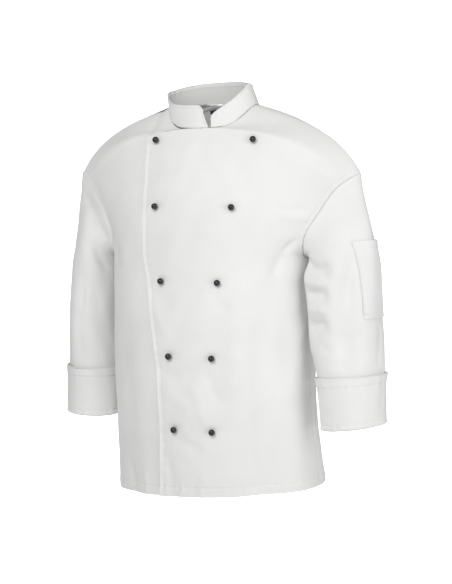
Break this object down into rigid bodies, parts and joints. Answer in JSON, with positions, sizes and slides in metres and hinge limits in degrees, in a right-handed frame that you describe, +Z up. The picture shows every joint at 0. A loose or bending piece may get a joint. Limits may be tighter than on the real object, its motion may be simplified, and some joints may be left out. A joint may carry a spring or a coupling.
{
  "type": "chef jacket",
  "caption": "Double-breasted white chef jacket, filled out as if worn, with stand collar, ball buttons, turned-back cuffs and a sleeve pocket.",
  "frame": {"origin": "middle of the back neck seam, where the jacket hangs on the wearer's nape", "axes": "+X to the wearer's left, -Y to the wearer's front, +Z up"},
  "size_m": [0.6622, 0.3154, 0.7845],
  "materials": {
    "cloth": "matte twill",
    "label": "woven",
    "button": "gloss"
  },
  "bodies": {
    "root": {"back": "cloth", "front_left": "cloth", "front_right": "cloth", "collar": "cloth", "sleeve_left": "cloth", "sleeve_right": "cloth", "cuff_left": "cloth", "cuff_right": "cloth", "sleeve_pocket": "cloth", "neck_label": "label", "button_left_1": "button", "button_left_2": "button", "button_left_3": "button", "button_left_4": "button", "button_left_5": "button", "button_right_1": "button", "button_right_2": "button", "button_right_3": "button", "button_right_4": "button", "button_right_5": "button"}
  },
  "joints": []
}
